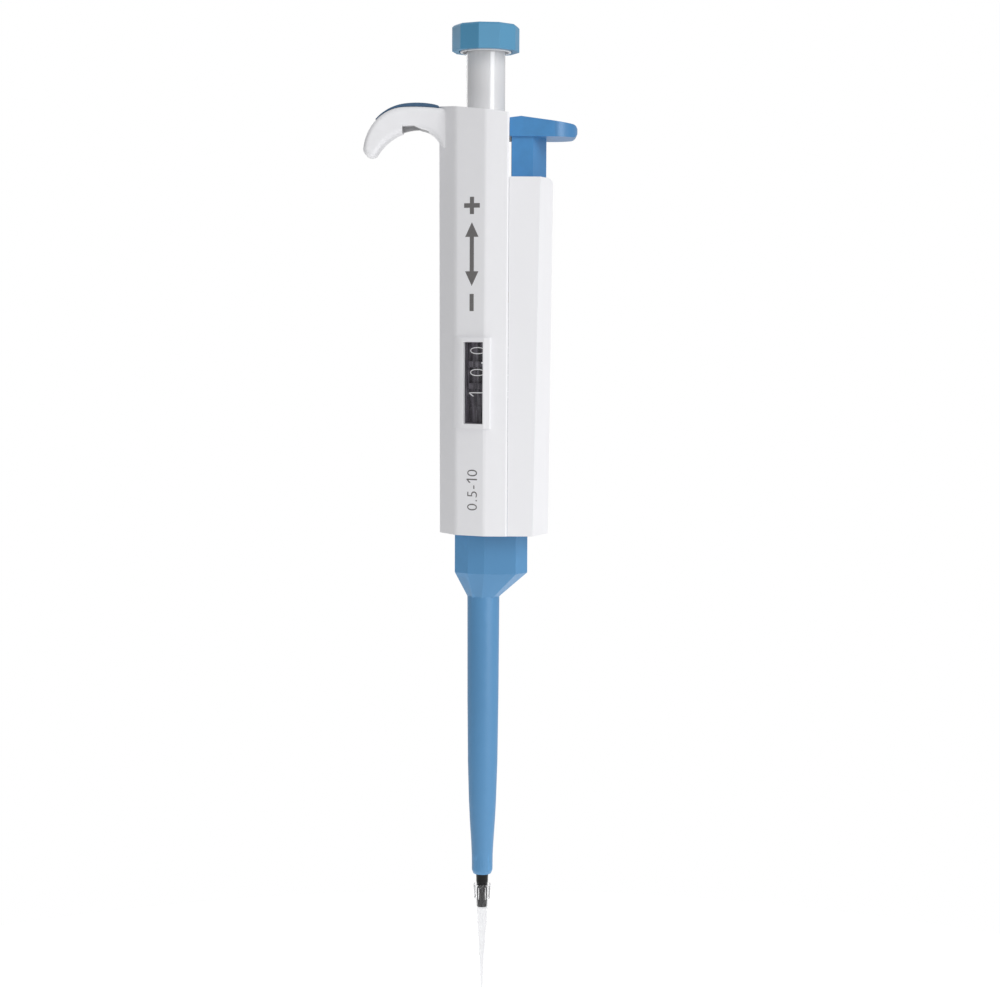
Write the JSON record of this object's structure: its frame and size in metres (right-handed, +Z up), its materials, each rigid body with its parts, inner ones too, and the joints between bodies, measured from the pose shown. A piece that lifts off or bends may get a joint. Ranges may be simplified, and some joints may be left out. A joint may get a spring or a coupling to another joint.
{
  "type": "single-channel pipette",
  "caption": "Hand-held air-displacement pipette with push button, volume counter, finger hook, tip ejector and a clear disposable tip.",
  "frame": {"origin": "centre of the disposable tip's orifice, on the plunger axis", "axes": "+Z up the plunger axis to the push button, +X towards the ejector column, -X towards the finger hook, -Y towards the volume window"},
  "size_m": [0.0594, 0.0263, 0.2744],
  "materials": {
    "white_body": "fine satin",
    "white_cover": "fine satin",
    "white_bezel": "satin",
    "white_ring": "smooth",
    "blue_pad": "soft matt",
    "blue_button": "fine satin",
    "blue_ejector": "satin",
    "blue_sleeve": "satin",
    "grey_stem": "smooth",
    "clear_window": "polished",
    "clear_tip": "moulded, translucent",
    "black_nozzle": "satin",
    "dark_drum": "matt",
    "pinion_plastic": "as moulded",
    "grey_frame": "as moulded",
    "liner": "smooth",
    "seal_plastic": "smooth",
    "seal_rubber": "smooth",
    "brass_parts": "turned",
    "steel_parts": "ground",
    "piston_steel": "polished",
    "spring_steel": "drawn",
    "barrel_metal": "turned"
  },
  "bodies": {
    "handle": {"handle_shell": "white_body", "ejector_cover": "white_cover", "hook_pad": "blue_pad", "window_bezel": "white_bezel", "window_lens": "clear_window", "window_mask": "dark_drum", "stem_bushing": "liner", "threaded_bush": "brass_parts", "counter_frame": "grey_frame", "index_ring": "dark_drum", "pinion_shaft": "steel_parts", "detent_ball": "steel_parts", "detent_spring": "spring_steel", "stop_ring": "spring_steel", "lower_barrel": "barrel_metal", "barrel_nut": "barrel_metal", "nozzle_nut": "barrel_metal", "nozzle": "black_nozzle", "piston_seal": "seal_plastic", "seal_ring": "seal_rubber", "seal_retainer": "seal_plastic"},
    "blowout_stage": {"blowout_cup": "grey_frame", "blowout_spring": "spring_steel"},
    "plunger": {"plunger_rod": "steel_parts", "rod_clip": "spring_steel", "plunger_collar": "brass_parts", "piston_head": "steel_parts", "piston": "piston_steel", "return_spring": "spring_steel"},
    "dial": {"push_button": "blue_button", "button_ring": "white_ring", "plunger_stem": "grey_stem"},
    "spindle": {"volume_screw": "brass_parts", "drum_tenths": "dark_drum"},
    "units_drum": {"drum_units": "dark_drum"},
    "tens_drum": {"drum_tens": "dark_drum"},
    "units_pinion": {"pinion_units": "pinion_plastic"},
    "tens_pinion": {"pinion_tens": "pinion_plastic"},
    "ejector": {"ejector_button": "blue_ejector", "ejector_rod": "steel_parts", "rod_nut": "steel_parts", "ejector_sleeve": "blue_sleeve", "ejector_spring": "spring_steel"},
    "disposable_tip": {"tip": "clear_tip"}
  },
  "joints": [
    {"name": "blowout_press", "type": "slide", "parent": "handle", "child": "blowout_stage", "axis": [0, 0, -1], "range_m": [0, 0.0025], "stiffness_N_per_m": 1200, "springref_m": -0.004, "deforming": ["blowout_spring"]},
    {"name": "plunger_press", "type": "slide", "parent": "blowout_stage", "child": "plunger", "axis": [0, 0, -1], "range_m": [0, 0.0127], "stiffness_N_per_m": 150, "springref_m": -0.012, "deforming": ["return_spring"]},
    {"name": "dial_turn", "type": "hinge", "parent": "plunger", "child": "dial", "pos_m": [0, 0, 0.27], "axis": [0, 0, 1], "range_deg": [-3420, 0]},
    {"name": "spindle_turn", "type": "hinge", "parent": "handle", "child": "spindle", "pos_m": [0, 0, 0.1847], "axis": [0, 0, 1], "range_deg": [-3420, 0]},
    {"name": "units_turn", "type": "hinge", "parent": "handle", "child": "units_drum", "pos_m": [0, 0, 0.17863], "axis": [0, 0, 1], "range_deg": [-342, 0]},
    {"name": "tens_turn", "type": "hinge", "parent": "handle", "child": "tens_drum", "pos_m": [0, 0, 0.17256], "axis": [0, 0, 1], "range_deg": [-34.2, 0]},
    {"name": "units_pinion_turn", "type": "hinge", "parent": "handle", "child": "units_pinion", "pos_m": [0.007, 0.007, 0.1809], "axis": [0, 0, 1], "range_deg": [0, 1197]},
    {"name": "tens_pinion_turn", "type": "hinge", "parent": "handle", "child": "tens_pinion", "pos_m": [0.007, 0.007, 0.1748], "axis": [0, 0, 1], "range_deg": [0, 119.7]},
    {"name": "ejector_press", "type": "slide", "parent": "handle", "child": "ejector", "axis": [0, 0, -1], "range_m": [0, 0.01], "stiffness_N_per_m": 250, "springref_m": -0.01, "deforming": ["ejector_spring"]},
    {"name": "tip_release", "type": "slide", "parent": "handle", "child": "disposable_tip", "axis": [0, 0, -1], "range_m": [0, 0.0067]}
  ],
  "couplings": [
    {"joint": "spindle_turn", "follows": "dial_turn", "ratio": 1},
    {"joint": "units_turn", "follows": "dial_turn", "ratio": 0.1},
    {"joint": "tens_turn", "follows": "dial_turn", "ratio": 0.01},
    {"joint": "units_pinion_turn", "follows": "dial_turn", "ratio": -0.35},
    {"joint": "tens_pinion_turn", "follows": "dial_turn", "ratio": -0.035},
    {"joint": "tip_release", "follows": "ejector_press", "ratio": 0.67}
  ]
}
